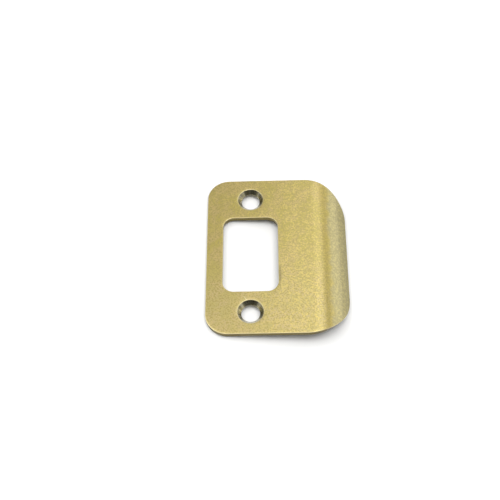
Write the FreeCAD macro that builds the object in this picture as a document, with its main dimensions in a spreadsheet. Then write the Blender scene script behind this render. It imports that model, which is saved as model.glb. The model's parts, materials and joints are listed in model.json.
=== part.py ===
import FreeCAD, Part
import math
import os

import Sketcher

# A full-lip strike plate for a door latch: one sheet of brass, blanked, countersunk and folded.
# The origin is the middle of the latch opening, on the back of the sheet. +Z points out of the
# face, +Y up the door jamb, and +X towards the lip that the latch bolt rides over.
# Lengths are in millimetres and angles in degrees.

SIZES = {
    "sheet_thickness": 1.6,
    "latch_width": 17.6,
    "latch_height": 27.6,
    "latch_corner_radius": 3.5,
    "screw_hole_diameter": 5.9,
    "screw_land": 0.25,
    "countersink_angle": 82,
    "screw_web": 3.0,
    "end_strip": 3.5,
    "side_strip": 5.2,
    "corner_radius": 7.0,
    "bend_setback": 11.2,
    "bend_radius": 13.2,
    "bend_angle": 42.5,
    "lip_straight": 3.0,
    "lip_corner_radius": 13.65,
    "edge_round": 0.3,
}

# A countersink sinks through the sheet as far as a thin land round the hole. The screws stand
# clear of the latch opening by one web, and the plate's ends clear of the screws by one strip.
SINK_DEPTH = "(sizes.sheet_thickness - sizes.screw_land)"
SINK_RADIUS = f"(sizes.screw_hole_diameter / 2 + {SINK_DEPTH} * tan(sizes.countersink_angle / 2 * 1 deg))"
LATCH_HALF_HEIGHT = "(sizes.latch_height / 2)"
SCREW_HALF_SPACING = f"({LATCH_HALF_HEIGHT} + sizes.screw_web + {SINK_RADIUS})"
PLATE_HALF_HEIGHT = f"({SCREW_HALF_SPACING} + {SINK_RADIUS} + sizes.end_strip)"

# Across the plate: a narrow strip beside the opening, and on the other side the flat, the bend
# and the straight end of the lip.
LATCH_SIDE = "(sizes.latch_width / 2)"
PLATE_SIDE = f"({LATCH_SIDE} + sizes.side_strip)"
BEND_START = f"({LATCH_SIDE} + sizes.bend_setback)"
BEND_ANGLE = "(sizes.bend_angle * 1 deg)"
LIP_REACH = f"(sizes.bend_radius * sin({BEND_ANGLE}) + sizes.lip_straight * cos({BEND_ANGLE}))"
LIP_END = f"({BEND_START} + {LIP_REACH})"
TRIM_MARGIN = "sizes.sheet_thickness"

START, END, CENTRE = 1, 2, 3
Y_AXIS = -2
OUT = FreeCAD.Vector(0, 0, 1)
QUARTER = math.pi / 2

doc = FreeCAD.newDocument("strike_plate")
sheet = doc.addObject("Spreadsheet::Sheet", "sizes")
for row, (alias, value) in enumerate(SIZES.items(), start=1):
    sheet.set(f"A{row}", alias)
    sheet.set(f"B{row}", str(value))
    sheet.setAlias(f"B{row}", alias)
doc.recompute()


def length(expression):
    """A length worked out from the sheet."""
    return float(sheet.evalExpression(expression))


def point(x, y):
    return FreeCAD.Vector(x, y, 0)


def arc(centre, radius, first_angle, last_angle):
    return Part.ArcOfCircle(Part.Circle(centre, OUT, radius), first_angle, last_angle)


def dimension(sketch, expression, kind, *where):
    """Adds one dimension to a sketch and ties it to the sheet."""
    value = sketch.evalExpression(expression)
    index = sketch.addConstraint(Sketcher.Constraint(kind, *where, value))
    sketch.setExpression(f"Constraints[{index}]", expression)


def rounded_rectangle(sketch, left, right, half_height, left_radius, right_radius):
    """Draws four sides joined by tangent corner arcs, with one radius for each end."""
    x_low, x_high, y_high = length(left), length(right), length(half_height)
    near, far = length(left_radius), length(right_radius)
    corners = sketch.addGeometry([
        arc(point(x_high - far, y_high - far), far, 0, QUARTER),
        arc(point(x_low + near, y_high - near), near, QUARTER, 2 * QUARTER),
        arc(point(x_low + near, near - y_high), near, 2 * QUARTER, 3 * QUARTER),
        arc(point(x_high - far, far - y_high), far, 3 * QUARTER, 4 * QUARTER),
    ])
    sides = sketch.addGeometry([
        Part.LineSegment(point(x_high - far, y_high), point(x_low + near, y_high)),
        Part.LineSegment(point(x_low, y_high - near), point(x_low, near - y_high)),
        Part.LineSegment(point(x_low + near, -y_high), point(x_high - far, -y_high)),
        Part.LineSegment(point(x_high, far - y_high), point(x_high, y_high - far)),
    ])
    next_corners = corners[1:] + corners[:1]
    directions = ["Horizontal", "Vertical"] * 2
    for side, before, after, direction in zip(sides, corners, next_corners, directions):
        sketch.addConstraint(Sketcher.Constraint(direction, side))
        sketch.addConstraint(Sketcher.Constraint("Tangent", before, END, side, START))
        sketch.addConstraint(Sketcher.Constraint("Tangent", side, END, after, START))
    top_side, left_side, bottom_side, right_side = sides
    dimension(sketch, half_height, "DistanceY", top_side, START)
    dimension(sketch, f"-{half_height}", "DistanceY", bottom_side, START)
    dimension(sketch, left, "DistanceX", left_side, START)
    dimension(sketch, right, "DistanceX", right_side, START)
    for corner, radius in zip(corners, [right_radius, left_radius, left_radius, right_radius]):
        dimension(sketch, radius, "Radius", corner)


# The fold as seen along the jamb: the face runs flat, turns down round the bend and ends in a
# short straight lip. It overshoots the outline at both ends, which then trims it.
face_height = length("sizes.sheet_thickness")
bend_x = length(BEND_START)
bend_radius = length("sizes.bend_radius")
bend_turn = math.radians(length("sizes.bend_angle"))
bend_centre = point(bend_x, face_height - bend_radius)
lip_root = bend_centre + bend_radius * point(math.sin(bend_turn), math.cos(bend_turn))
lip_length = length(f"sizes.lip_straight + {TRIM_MARGIN}")
lip_tip = lip_root + lip_length * point(math.cos(bend_turn), -math.sin(bend_turn))
plate_edge = point(-length(f"{PLATE_SIDE} + {TRIM_MARGIN}"), face_height)

fold_line = doc.addObject("Sketcher::SketchObject", "fold_line")
fold_line.Placement = FreeCAD.Placement(point(0, 0), FreeCAD.Rotation(FreeCAD.Vector(1, 0, 0), 90))
flat, bend, lip = fold_line.addGeometry([
    Part.LineSegment(plate_edge, point(bend_x, face_height)),
    arc(bend_centre, bend_radius, QUARTER - bend_turn, QUARTER),
    Part.LineSegment(lip_root, lip_tip),
])
fold_line.addConstraint(Sketcher.Constraint("Horizontal", flat))
fold_line.addConstraint(Sketcher.Constraint("Tangent", flat, END, bend, END))
fold_line.addConstraint(Sketcher.Constraint("Tangent", bend, START, lip, START))
dimension(fold_line, f"-{PLATE_SIDE} - {TRIM_MARGIN}", "DistanceX", flat, START)
dimension(fold_line, BEND_START, "DistanceX", flat, END)
dimension(fold_line, "sizes.sheet_thickness", "DistanceY", flat, END)
dimension(fold_line, "sizes.bend_radius", "Radius", bend)
dimension(fold_line, BEND_ANGLE, "Angle", bend)
dimension(fold_line, f"sizes.lip_straight + {TRIM_MARGIN}", "Distance", lip)

folded_face = doc.addObject("Part::Extrusion", "folded_face")
folded_face.Base = fold_line
folded_face.DirMode = "Normal"
folded_face.Symmetric = True
folded_face.Solid = False
folded_face.setExpression("LengthFwd", f"2 * ({PLATE_HALF_HEIGHT} + {TRIM_MARGIN})")

# The outline as the face shows it from the front, cut straight through the folded face.
outline = doc.addObject("Sketcher::SketchObject", "outline")
rounded_rectangle(
    outline, f"-{PLATE_SIDE}", LIP_END, PLATE_HALF_HEIGHT, "sizes.corner_radius", "sizes.lip_corner_radius"
)
blanking_die = doc.addObject("Part::Extrusion", "blanking_die")
blanking_die.Base = outline
blanking_die.DirMode = "Normal"
blanking_die.Symmetric = True
blanking_die.Solid = True
blanking_die.setExpression("LengthFwd", f"2 * (sizes.bend_radius + {LIP_REACH} + {TRIM_MARGIN})")

trimmed_face = doc.addObject("Part::Common", "trimmed_face")
trimmed_face.Base = folded_face
trimmed_face.Tool = blanking_die

# The face is thickened towards its back, so every cut edge stands square to the sheet, round
# the lip's corners too.
folded_sheet = doc.addObject("Part::Offset", "folded_sheet")
folded_sheet.Source = trimmed_face
folded_sheet.Mode = "Skin"
folded_sheet.Join = "Arc"
folded_sheet.Fill = True
folded_sheet.setExpression("Value", "-sizes.sheet_thickness")
doc.recompute()

# The plate is the folded sheet, pierced by the latch opening and two countersunk screw holes.
plate = doc.addObject("PartDesign::Body", "strike_plate")
plate.Label = "strike_plate"
plate.BaseFeature = folded_sheet
doc.recompute()
jamb_plane = next(plane for plane in plate.Origin.OriginFeatures if plane.Role == "XY_Plane")


def face_sketch(name):
    """A sketch on the flat of the plate's face."""
    sketch = plate.newObject("Sketcher::SketchObject", name)
    sketch.AttachmentSupport = (jamb_plane, [""])
    sketch.MapMode = "FlatFace"
    sketch.setExpression("AttachmentOffset.Base.z", "sizes.sheet_thickness")
    return sketch


latch_outline = face_sketch("latch_outline")
rounded_rectangle(
    latch_outline,
    f"-{LATCH_SIDE}",
    LATCH_SIDE,
    LATCH_HALF_HEIGHT,
    "sizes.latch_corner_radius",
    "sizes.latch_corner_radius",
)
latch_opening = plate.newObject("PartDesign::Pocket", "latch_opening")
latch_opening.Profile = latch_outline
latch_opening.Type = "ThroughAll"

screw_centres = face_sketch("screw_centres")
screw_radius = length("sizes.screw_hole_diameter") / 2
for side in (1, -1):
    screw_y = f"{side} * {SCREW_HALF_SPACING}"
    hole = screw_centres.addGeometry(Part.Circle(point(0, length(screw_y)), OUT, screw_radius))
    screw_centres.addConstraint(Sketcher.Constraint("PointOnObject", hole, CENTRE, Y_AXIS))
    dimension(screw_centres, screw_y, "DistanceY", hole, CENTRE)
    dimension(screw_centres, "sizes.screw_hole_diameter", "Diameter", hole)
doc.recompute()

screw_holes = plate.newObject("PartDesign::Hole", "screw_holes")
screw_holes.Profile = screw_centres
screw_holes.ThreadType = "None"
screw_holes.Threaded = False
screw_holes.DepthType = "ThroughAll"
screw_holes.DrillPoint = "Flat"
screw_holes.HoleCutType = "Countersink"
screw_holes.HoleCutCustomValues = True
screw_holes.setExpression("Diameter", "sizes.screw_hole_diameter")
screw_holes.setExpression("HoleCutDiameter", f"2 * {SINK_RADIUS}")
screw_holes.setExpression("HoleCutCountersinkAngle", "sizes.countersink_angle")
doc.recompute()


def on_face(spot):
    """Whether a spot lies on the face of the sheet."""
    touching = 1e-4
    return Part.Vertex(spot).distToShape(trimmed_face.Shape)[0] < touching


def middle_of(surface):
    low_u, high_u, low_v, high_v = surface.ParameterRange
    return surface.valueAt((low_u + high_u) / 2, (low_v + high_v) / 2)


def face_rims(solid):
    """Names the edges where the face meets a cut edge or a countersink."""
    names = []
    for number, edge in enumerate(solid.Edges, start=1):
        if not on_face(edge.valueAt((edge.FirstParameter + edge.LastParameter) / 2)):
            continue
        neighbours = solid.ancestorsOfType(edge, Part.Face)
        if not all(on_face(middle_of(neighbour)) for neighbour in neighbours):
            names.append(f"Edge{number}")
    return names


# Blanking draws the face's edges down into a soft round, and leaves the back's edges sharp.
die_roll = plate.newObject("PartDesign::Fillet", "die_roll")
die_roll.Base = (screw_holes, face_rims(screw_holes.Shape))
die_roll.setExpression("Radius", "sizes.edge_round")
doc.recompute()

for item in doc.Objects:
    if "Invalid" in item.State or "Error" in item.State:
        raise RuntimeError(f"{item.Name} did not build: {item.State}")
solids = plate.Shape.Solids
if plate.Shape.isNull() or not plate.Shape.isValid() or len(solids) != 1:
    raise RuntimeError("the strike plate is not one valid solid")
if not screw_holes.Shape.Volume < latch_opening.Shape.Volume < folded_sheet.Shape.Volume:
    raise RuntimeError("the latch opening or the screw holes cut nothing")

os.makedirs("parts", exist_ok=True)
solids[0].exportStep(f"parts/{plate.Label}.step")
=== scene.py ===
import json
import math

import bmesh
import bpy
from mathutils import Euler, Matrix, Vector


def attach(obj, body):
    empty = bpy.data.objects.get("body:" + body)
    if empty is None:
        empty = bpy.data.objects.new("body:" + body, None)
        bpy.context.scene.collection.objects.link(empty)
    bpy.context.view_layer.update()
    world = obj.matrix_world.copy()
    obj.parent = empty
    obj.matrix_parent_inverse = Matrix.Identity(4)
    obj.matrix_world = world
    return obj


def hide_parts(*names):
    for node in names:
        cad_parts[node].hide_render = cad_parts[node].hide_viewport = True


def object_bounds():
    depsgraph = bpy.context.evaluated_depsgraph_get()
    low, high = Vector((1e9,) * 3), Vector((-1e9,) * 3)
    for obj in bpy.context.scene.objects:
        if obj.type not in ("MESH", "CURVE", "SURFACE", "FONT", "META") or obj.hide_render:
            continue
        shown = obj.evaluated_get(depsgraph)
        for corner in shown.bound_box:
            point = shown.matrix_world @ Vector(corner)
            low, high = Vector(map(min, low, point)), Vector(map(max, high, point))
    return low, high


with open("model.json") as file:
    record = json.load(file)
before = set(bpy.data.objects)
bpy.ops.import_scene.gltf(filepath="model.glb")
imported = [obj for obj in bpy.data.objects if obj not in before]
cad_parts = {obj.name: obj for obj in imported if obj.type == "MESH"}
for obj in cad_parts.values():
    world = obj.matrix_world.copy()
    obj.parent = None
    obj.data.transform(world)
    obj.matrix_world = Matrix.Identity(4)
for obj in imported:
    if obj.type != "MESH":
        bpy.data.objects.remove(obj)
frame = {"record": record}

cad_low, cad_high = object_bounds()

# The strike plate is one sheet of brass, blanked to its outline and pierced for the latch bolt.
# Its lip is folded back to lead the bolt in, and two countersunk holes take the screws that hold
# it to the jamb. Blanking rolls the edges of the face and leaves those of the back nearly sharp.
MM = 0.001
screws = frame["record"]["mounts"][0]["dims"]
thickness = cad_high.z
half_height = cad_high.y
plain_edge = cad_low.x
plain_corner = 7.0 * MM
lip_corner = 13.65 * MM
corner_steps = 28
latch_half_width = 8.8 * MM
latch_half_height = 13.8 * MM
latch_corner = 3.5 * MM
latch_corner_steps = 14
bend_start = 20.0 * MM
bend_radius = 13.2 * MM
bend_angle = math.radians(42.5)
bend_steps = 40
lip_straight = 2.9 * MM
bend_end = bend_start + bend_radius * math.sin(bend_angle)
lip_end = bend_end + lip_straight * math.cos(bend_angle)
hole_radius = screws["hole_r_mm"] * MM
hole_land = 0.25 * MM
countersink_half_angle = math.radians(41)
rim_radius = hole_radius + (thickness - hole_land) * math.tan(countersink_half_angle)
rim_steps = 72
rim_tolerance = 0.01 * MM
screw_half_spacing = screws["spacing_y_mm"] / 2 * MM
screw_centres = [Vector((0, side * screw_half_spacing, 0)) for side in (-1, 1)]
edge_band = 0.9 * MM
rolled_edge = 0.11 * MM
rolled_steps = 4
rim_roll = 0.05 * MM
back_break = 0.06 * MM
break_steps = 3
level_tolerance = 0.001 * MM
under_face = 0.9 * thickness
sharp_angle = math.radians(35)


def rounded_panel(sheet, low, high, left_radius, right_radius, steps):
    """A flat rectangular face with round corners, which may differ at its left and right."""
    corners = bmesh.ops.create_grid(sheet, x_segments=1, y_segments=1, size=0.5)["verts"]
    bmesh.ops.scale(sheet, verts=corners, vec=(high.x - low.x, high.y - low.y, 1))
    bmesh.ops.translate(sheet, verts=corners, vec=(low + high) / 2)
    left = [corner for corner in corners if corner.co.x < (low.x + high.x) / 2]
    right = [corner for corner in corners if corner not in left]
    for pair, radius in ((left, left_radius), (right, right_radius)):
        bmesh.ops.bevel(sheet, geom=pair, offset=radius, affect="VERTICES", segments=steps,
                        profile=0.5, material=-1)


def from_screw(vert):
    """The nearest screw's centre, and the way from there to a vertex in the plane of the sheet."""
    centre = min(screw_centres, key=lambda place: (vert.co.xy - place.xy).length)
    return centre, vert.co.xy - centre.xy


def on_rim(vert):
    """Whether a vertex lies on the rim of a countersink, or straight below it."""
    return abs(from_screw(vert)[1].length - rim_radius) < rim_tolerance


def wall_edges(sheet, height):
    """The edges at this height, where the sheet's face or back meets a cut wall."""
    level = {vert for vert in sheet.verts if abs(vert.co.z - height) < level_tolerance}
    return [edge for edge in sheet.edges if level.issuperset(edge.verts)
            and not all(level.issuperset(face.verts) for face in edge.link_faces)]


def round_edges(sheet, edges, offset, steps):
    """Rounds these edges."""
    bmesh.ops.bevel(sheet, geom=edges, offset=offset, affect="EDGES", segments=steps,
                    profile=0.5, material=-1)


def fold_slope(x):
    """How far the face has turned at this distance from the middle of the latch opening."""
    return math.asin(min(max(x - bend_start, 0) / bend_radius, math.sin(bend_angle)))


def folded(place):
    """Where a point of the flat sheet goes in the fold, at its own depth below the face."""
    slope = fold_slope(place.x)
    drop = bend_radius * (1 - math.cos(slope)) + max(place.x - bend_end, 0) * math.tan(bend_angle)
    below = thickness - place.z
    return Vector((place.x - below * math.sin(slope), place.y,
                   thickness - drop - below * math.cos(slope)))


sheet = bmesh.new()
depth = sheet.verts.layers.float.new("depth")
edge_nearness = sheet.verts.layers.float.new("edge_nearness")
in_sink = sheet.verts.layers.float.new("in_sink")
round_hole = sheet.verts.layers.float_vector.new("round_hole")
rounded_panel(sheet, Vector((plain_edge, -half_height, thickness)),
              Vector((lip_end, half_height, thickness)), plain_corner, lip_corner, corner_steps)
rounded_panel(sheet, Vector((-latch_half_width, -latch_half_height, thickness)),
              Vector((latch_half_width, latch_half_height, thickness)),
              latch_corner, latch_corner, latch_corner_steps)
for centre in screw_centres:
    bmesh.ops.create_circle(sheet, segments=rim_steps, radius=rim_radius,
                            matrix=Matrix.Translation(centre + Vector((0, 0, thickness))))
bmesh.ops.delete(sheet, geom=sheet.faces[:], context="FACES_ONLY")
bmesh.ops.triangle_fill(sheet, edges=sheet.edges[:], use_beauty=True, normal=(0, 0, 1))
bmesh.ops.inset_region(sheet, faces=sheet.faces[:], thickness=edge_band, use_boundary=True,
                       use_even_offset=True)
for vert in sheet.verts:
    vert[edge_nearness] = float(vert.is_boundary)
made = bmesh.ops.extrude_face_region(sheet, geom=sheet.faces[:], use_keep_orig=True)["geom"]
back = [part for part in made if isinstance(part, bmesh.types.BMVert)]
bmesh.ops.translate(sheet, verts=back, vec=(0, 0, -thickness))
for vert in back:
    vert[depth] = 1.0
    vert[edge_nearness] = 0.0
bmesh.ops.recalc_face_normals(sheet, faces=sheet.faces[:])

sink_walls = [edge for edge in sheet.edges
              if all(map(on_rim, edge.verts)) and edge.verts[0].co.z != edge.verts[1].co.z]
bmesh.ops.subdivide_edges(sheet, edges=sink_walls, cuts=1)
for vert in filter(on_rim, sheet.verts[:]):
    centre, outwards = from_screw(vert)
    vert[round_hole] = (*outwards.normalized(), centre.y / screw_half_spacing)
    if vert.co.z < under_face:
        vert.co.xy = centre.xy + outwards.normalized() * hole_radius
        vert.co.z = min(vert.co.z, hole_land)
        vert[in_sink] = 1.0
rims = wall_edges(sheet, thickness)
round_edges(sheet, [edge for edge in rims if not on_rim(edge.verts[0])], rolled_edge, rolled_steps)
rims = [edge for edge in wall_edges(sheet, thickness) if all(map(on_rim, edge.verts))]
round_edges(sheet, rims, rim_roll, break_steps)
round_edges(sheet, wall_edges(sheet, 0), back_break, break_steps)

for step in range(bend_steps + 1):
    line = bend_start + bend_radius * math.sin(bend_angle * step / bend_steps)
    bmesh.ops.bisect_plane(sheet, geom=sheet.verts[:] + sheet.edges[:] + sheet.faces[:],
                           plane_co=(line, 0, 0), plane_no=(1, 0, 0))
for vert in sheet.verts:
    vert.co = folded(vert.co)
for face in sheet.faces:
    face.smooth = True
for edge in sheet.edges:
    edge.smooth = edge.calc_face_angle(0) < sharp_angle

plate_mesh = bpy.data.meshes.new("strike_plate_sheet")
sheet.to_mesh(plate_mesh)
sheet.free()
plate = bpy.data.objects.new("strike_plate_sheet", plate_mesh)
bpy.context.collection.objects.link(plate)
evened = plate.modifiers.new("even shading", "WEIGHTED_NORMAL")
evened.keep_sharp = True


class Tone:
    """One output of a material's nodes, with the sums that can be made from it."""

    def __init__(self, socket):
        self.socket = socket
        self.tree = socket.id_data

    def node(self, kind, settings, inputs, output=0):
        """Adds a node with its settings, then gives its inputs their values or links."""
        added = self.tree.nodes.new(kind)
        for name, value in settings.items():
            setattr(added, name, value)
        for name, value in inputs.items():
            if isinstance(value, Tone):
                self.tree.links.new(value.socket, added.inputs[name])
            else:
                added.inputs[name].default_value = value
        return Tone(added.outputs[output])

    def maths(self, operation, first, second):
        """One sum of two values."""
        return self.node("ShaderNodeMath", {"operation": operation}, {0: first, 1: second})

    def __add__(self, other):
        return self.maths("ADD", self, other)

    def __radd__(self, other):
        return self.maths("ADD", other, self)

    def __sub__(self, other):
        return self.maths("SUBTRACT", self, other)

    def __rsub__(self, other):
        return self.maths("SUBTRACT", other, self)

    def __mul__(self, other):
        return self.maths("MULTIPLY", self, other)

    def __rmul__(self, other):
        return self.maths("MULTIPLY", other, self)

    def along(self, axis):
        """How far this vector runs along an axis."""
        return self.node("ShaderNodeVectorMath", {"operation": "DOT_PRODUCT"},
                         {0: self, 1: Vector(axis).normalized()}, "Value")

    def apart(self, value):
        """How far this lies from a value, to either side."""
        return self.node("ShaderNodeMath", {"operation": "ABSOLUTE"}, {0: self - value})

    def between(self, low, high):
        """Runs from 0 to 1 while this runs from low to high."""
        return self.node("ShaderNodeMapRange", {"interpolation_type": "SMOOTHSTEP"},
                         {"Value": self, "From Min": low, "From Max": high})

    def mix(self, first, second):
        """The first colour where this is 0, the second where it is 1."""
        return self.node("ShaderNodeMix", {"data_type": "RGBA"},
                         {"Factor": self, 6: first, 7: second}, 2)


olive_brass = (0.535, 0.435, 0.088, 1)
tan_brass = (0.60, 0.455, 0.15, 1)
gold_brass = (0.75, 0.595, 0.145, 1)
shaded_brass = (0.48, 0.375, 0.105, 1)
fold_shade_brass = (0.50, 0.385, 0.04, 1)
ashen_brass = (0.61, 0.50, 0.27, 1)
lip_reflection_brass = (0.37, 0.325, 0.14, 1)
lip_reflection_fleck = (0.54, 0.47, 0.19, 1)
tip_shade_brass = (0.27, 0.235, 0.095, 1)
wear_and_highlight_brass = (0.72, 0.63, 0.34, 1)
dark_brass = (0.20, 0.160, 0.055, 1)
umber_brass = (0.14, 0.110, 0.037, 1)
dull_cone = (0.28, 0.25, 0.14, 1)
bright_cone = (0.46, 0.43, 0.31, 1)

# Depth below the face, and nearness to an edge or a hole, run from 0 to 1.
cut_starts = (0.04, 0.18)
cone_starts = (0.02, 0.12)
cone_stops = (0.90, 0.99)
edge_wear_and_highlight_range = (0.60, 0.95)
scratch_stops = (0.80, 0.90)

# Zones of the face are measured from the middle of the latch opening, across the plate or up it.
lipward_way = (1, 0.12, 0)
lipward_zone = (-16 * MM, 20 * MM)
lower_sheen_zone = (-22 * MM, 6 * MM)
fold_zone = (22.2 * MM, 24.2 * MM)
lip_zone = (24.5 * MM, 26.0 * MM)
tip_zone = (29.2 * MM, 30.9 * MM)
raggedness = 4 * MM

# A dark patchy band lies beside the lip side of the latch opening, low down: painted shade, the dark
# reflection of its rounded edge. A screwdriver slipped by the lower hole.
dark_reflection_middle = -7.7 * MM
dark_reflection_half_length = (2.0 * MM, 3.6 * MM)
dark_reflection_begins = (latch_half_width, latch_half_width + 0.3 * MM)
dark_reflection_fades = (latch_half_width + 0.6 * MM, latch_half_width + 1.1 * MM)
slip_way = Vector((0.575, -0.818, 0))
slip_aside = -10.69 * MM
slip_begins = (10.9 * MM, 12.4 * MM)
slip_fades = (13.1 * MM, 13.4 * MM)
slip_half_width = (0.06 * MM, 0.22 * MM)

# Ranges say how much of a pattern is in full tone, and shares how far a tone covers the one below it.
blotch_range = (0.38, 0.62)
fleck_range = (0.40, 0.65)
shade_range = (0.35, 0.55)
dark_reflection_range = (0.40, 0.60)
mottle_range = (0.35, 0.65)
lower_sheen_share = 0.34
gold_share = 0.20
lipward_glint_share = 0.62
fold_shade_share = 0.35
lip_reflection_share = 0.75
tip_shade_share = 0.5
edge_wear_and_highlight_share = 0.5
dark_reflection_share = 0.75
dark_reflection_patch_share = 0.65
satin_roughness = 0.28
grain_roughness = 0.08
turned_gloss = 0.1
scratch_roughness = 0.3

brass = bpy.data.materials.new("satin_antique_brass")
brass.use_nodes = True
shader = brass.node_tree.nodes["Principled BSDF"]
here = Tone(brass.node_tree.nodes.new("ShaderNodeTexCoord").outputs["Object"])
blotches = here.node("ShaderNodeTexNoise", {}, {"Vector": here, "Scale": 240, "Detail": 4})
grain = here.node("ShaderNodeTexNoise", {}, {"Vector": here, "Scale": 2000, "Detail": 2})
flecks = here.node("ShaderNodeTexNoise", {}, {"Vector": here, "Scale": 1600, "Detail": 2})
below_face = here.node("ShaderNodeAttribute", {"attribute_name": "depth"}, {}, "Fac")
near_edge = here.node("ShaderNodeAttribute", {"attribute_name": "edge_nearness"}, {}, "Fac")
near_hole = here.node("ShaderNodeAttribute", {"attribute_name": "in_sink"}, {}, "Fac")
way_round = here.node("ShaderNodeAttribute", {"attribute_name": "round_hole"}, {}, "Vector")
chatter = here.node("ShaderNodeTexNoise", {}, {"Vector": way_round, "Scale": 6, "Detail": 2})

cut = below_face.between(*cut_starts)
turned = near_hole.between(*cone_starts) * (1 - below_face.between(*cone_stops))
edge_wear_and_highlight = near_edge.between(*edge_wear_and_highlight_range)
across = here.along((1, 0, 0))
up = here.along((0, 1, 0))
ragged = across + raggedness * (blotches - 0.5)
lipward_glint = here.along(lipward_way).between(*lipward_zone)
in_fold = ragged.between(*fold_zone)
on_lip = ragged.between(*lip_zone)
at_tip = across.between(*tip_zone)
bright_flecks = flecks.between(*fleck_range)

patina = blotches.between(*blotch_range).mix(olive_brass, tan_brass)
# Towards the lower end the face is paler and greyer: a painted sheen, standing for the lacquer's
# brighter whitish reflection there.
lower_sheened = (lower_sheen_share * (1 - up.between(*lower_sheen_zone))).mix(patina, ashen_brass)
# Gold flecks are the metal's own. Their increase towards the lip side is a painted highlight,
# brighter where the light's reflection is stronger.
golden = (bright_flecks * (gold_share + lipward_glint_share * lipward_glint)).mix(lower_sheened, gold_brass)
speckled = (1 - grain.between(*shade_range)).mix(golden, shaded_brass)
# The trough of the fold is painted a darker, deeper gold: painted shade, standing for the dark
# reflection along the bend.
fold_shaded = (fold_shade_share * in_fold).mix(speckled, fold_shade_brass)
# On the lip the brass is painted pale and greyish: a painted reflection, the lacquer's whitish sheen
# where the lip turns towards the light. The blotches make its edge ragged.
lip = bright_flecks.mix(lip_reflection_brass, lip_reflection_fleck)
lip_reflected = (lip_reflection_share * on_lip).mix(fold_shaded, lip)
# The end of the lip is painted darker: painted shade, where the lip's end turns away from the light.
tip_shaded = (tip_shade_share * at_tip).mix(lip_reflected, tip_shade_brass)
# Near the edges of the face and the rims of the countersinks the brass is lighter: partly real wear,
# partly a painted highlight standing for the bright line along the rolled edges.
edged = (edge_wear_and_highlight_share * edge_wear_and_highlight * (1 - at_tip)).mix(tip_shaded, wear_and_highlight_brass)

dark_reflection_patches = (1 - dark_reflection_patch_share) + dark_reflection_patch_share * grain.between(*dark_reflection_range)
# A painted dark reflection, darkening the face beside the lip side of the latch opening.
dark_reflection_band = ((1 - up.apart(dark_reflection_middle).between(*dark_reflection_half_length)) * across.between(*dark_reflection_begins)
            * (1 - across.between(*dark_reflection_fades)) * dark_reflection_patches)
dark_reflection_added = (dark_reflection_share * dark_reflection_band).mix(edged, dark_brass)
slip = here.along(slip_way)
aside = here.along((-slip_way.y, slip_way.x, 0))
scratch = ((1 - aside.apart(slip_aside).between(*slip_half_width)) * slip.between(*slip_begins)
           * (1 - slip.between(*slip_fades)) * (1 - below_face.between(*scratch_stops)))

mottle = 0.5 * (blotches.between(*mottle_range) + grain.between(*mottle_range))
oxide = mottle.mix(umber_brass, dark_brass)
cone = chatter.between(*mottle_range).mix(dull_cone, bright_cone)
finish = scratch.mix(turned.mix(cut.mix(dark_reflection_added, oxide), cone), wear_and_highlight_brass)
roughness = (satin_roughness + grain_roughness * grain - turned_gloss * turned
             + scratch_roughness * scratch)
texture = here.node("ShaderNodeBump", {}, {"Height": grain, "Strength": 0.15, "Distance": 0.05 * MM})
for name, value in {"Base Color": finish, "Roughness": roughness, "Coat Weight": 1 - cut,
                    "Normal": texture}.items():
    brass.node_tree.links.new(value.socket, shader.inputs[name])
shader.inputs["Metallic"].default_value = 1.0
shader.inputs["Coat Roughness"].default_value = 0.22
shader.inputs["Coat IOR"].default_value = 1.75
plate_mesh.materials.append(brass)
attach(plate, "root")
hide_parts("strike_plate")

# The table is a plain white board. The plate lies on it as it would come to rest, on the back of
# its plain edge and on the tip of its lip, so the board is tilted under it.
table_size = 0.5
board_white = (0.93, 0.93, 0.92, 1)
lip_tip = folded(Vector((lip_end, 0, 0)))
plain_foot = Vector((plain_edge, 0, 0))
table_tilt = math.atan2(plain_foot.z - lip_tip.z, lip_tip.x - plain_foot.x)
board = bmesh.new()
bmesh.ops.create_grid(board, x_segments=1, y_segments=1, size=table_size / 2)
bmesh.ops.rotate(board, verts=board.verts[:], matrix=Matrix.Rotation(table_tilt, 3, "Y"))
bmesh.ops.translate(board, verts=board.verts[:], vec=(plain_foot + lip_tip) / 2)
table_mesh = bpy.data.meshes.new("table")
board.to_mesh(table_mesh)
board.free()
table = bpy.data.objects.new("table", table_mesh)
bpy.context.collection.objects.link(table)
white_board = bpy.data.materials.new("white_board")
white_board.use_nodes = True
board_shader = white_board.node_tree.nodes["Principled BSDF"]
board_shader.inputs["Base Color"].default_value = board_white
board_shader.inputs["Roughness"].default_value = 0.9
board_shader.inputs["Specular IOR Level"].default_value = 0.1
table_mesh.materials.append(white_board)

# The light is a white tent, darker towards the camera. A lamp hangs over the far side, a wide panel
# stands low beyond it and a lamp low beyond the lip. Two broad lamps shine down from the left and
# the right, and two small ones, low on either side, reach into the countersinks.
far_wall_way = (0.15, 0.55, 0.82)
far_wall_edge = (-0.25, 0.45)
far_wall_glow = 0.294
roof_way = (0.3, 0.3, 0.9)
roof_edge = (0.3, 0.95)
roof_glow = 0.144
tent_glow = 0.071
plain_white = (1, 1, 1, 1)
lamp_distance = 0.7
world = bpy.data.worlds.new("tent")
bpy.context.scene.world = world
world.use_nodes = True
tent = world.node_tree.nodes["Background"]
towards = Tone(world.node_tree.nodes.new("ShaderNodeTexCoord").outputs["Generated"])
far_wall = towards.along(far_wall_way).between(*far_wall_edge)
roof = towards.along(roof_way).between(*roof_edge)
seen = towards.node("ShaderNodeLightPath", {}, {}, "Is Camera Ray")
tent_shade = seen.mix(tent_glow + far_wall_glow * far_wall + roof_glow * roof, plain_white)
world.node_tree.links.new(tent_shade.socket, tent.inputs["Color"])


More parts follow.
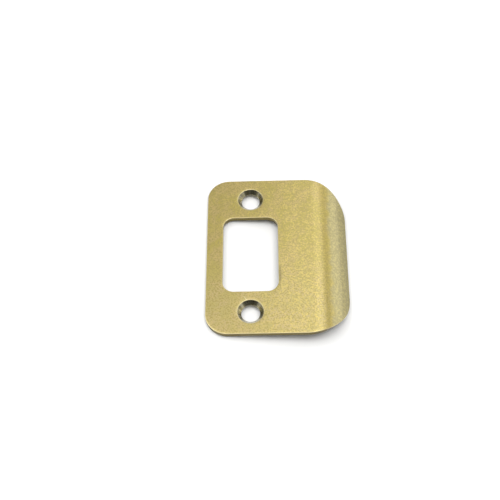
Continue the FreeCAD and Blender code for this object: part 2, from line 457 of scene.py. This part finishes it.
def lamp(name, azimuth, elevation, width, height, brightness):
    """A soft lamp that faces the plate, round where it is as wide as it is high.

    Its angles are in degrees, and its azimuth runs from the far side to the right.
    """
    light = bpy.data.lights.new(name, "AREA")
    light.shape = "ELLIPSE" if width == height else "RECTANGLE"
    light.size = width
    light.size_y = height
    area = width * height * (math.pi / 4 if width == height else 1)
    light.energy = math.pi * area * brightness
    holder = bpy.data.objects.new(name, light)
    turn = math.radians(azimuth)
    rise = math.radians(elevation)
    aim = Vector((math.sin(turn) * math.cos(rise), math.cos(turn) * math.cos(rise), math.sin(rise)))
    holder.location = lamp_distance * aim
    holder.rotation_euler = aim.to_track_quat("Z", "Y").to_euler()
    bpy.context.collection.objects.link(holder)


lamp("far lamp", azimuth=26, elevation=57, width=0.349, height=0.349, brightness=0.80)
lamp("far panel", azimuth=20, elevation=24, width=1.7, height=0.48, brightness=0.36)
lamp("lip lamp", azimuth=68, elevation=20, width=0.51, height=0.51, brightness=0.50)
lamp("left lamp", azimuth=-80, elevation=56, width=0.5, height=0.5, brightness=3.0)
lamp("right lamp", azimuth=138, elevation=77, width=0.6, height=0.6, brightness=3.2)
lamp("low right lamp", azimuth=112, elevation=15, width=0.32, height=0.32, brightness=0.7)
lamp("low left lamp", azimuth=-112, elevation=15, width=0.32, height=0.32, brightness=0.45)

# The camera looks down on the plate from a little beyond its lower end. Its place, its turn and its
# lens were fitted to the edges of the plate and of its openings in the photograph.
photo_width = 500
focal_pixels = 985.95
camera_turn = Euler((math.radians(32.1877), math.radians(1.897), math.radians(-1.1982)), "ZYX")
camera_place = Vector((-0.2233, 1.9667, 315.3543)) * MM
lens = bpy.data.cameras.new("camera")
lens.sensor_width = 36.0
lens.lens = lens.sensor_width * focal_pixels / photo_width
lens.clip_start = 0.01
lens.clip_end = 20.0
camera = bpy.data.objects.new("camera", lens)
camera.rotation_mode = camera_turn.order
camera.rotation_euler = camera_turn
camera.location = camera_turn.to_matrix() @ camera_place
bpy.context.collection.objects.link(camera)
bpy.context.scene.camera = camera
bpy.context.scene.view_settings.view_transform = "Standard"
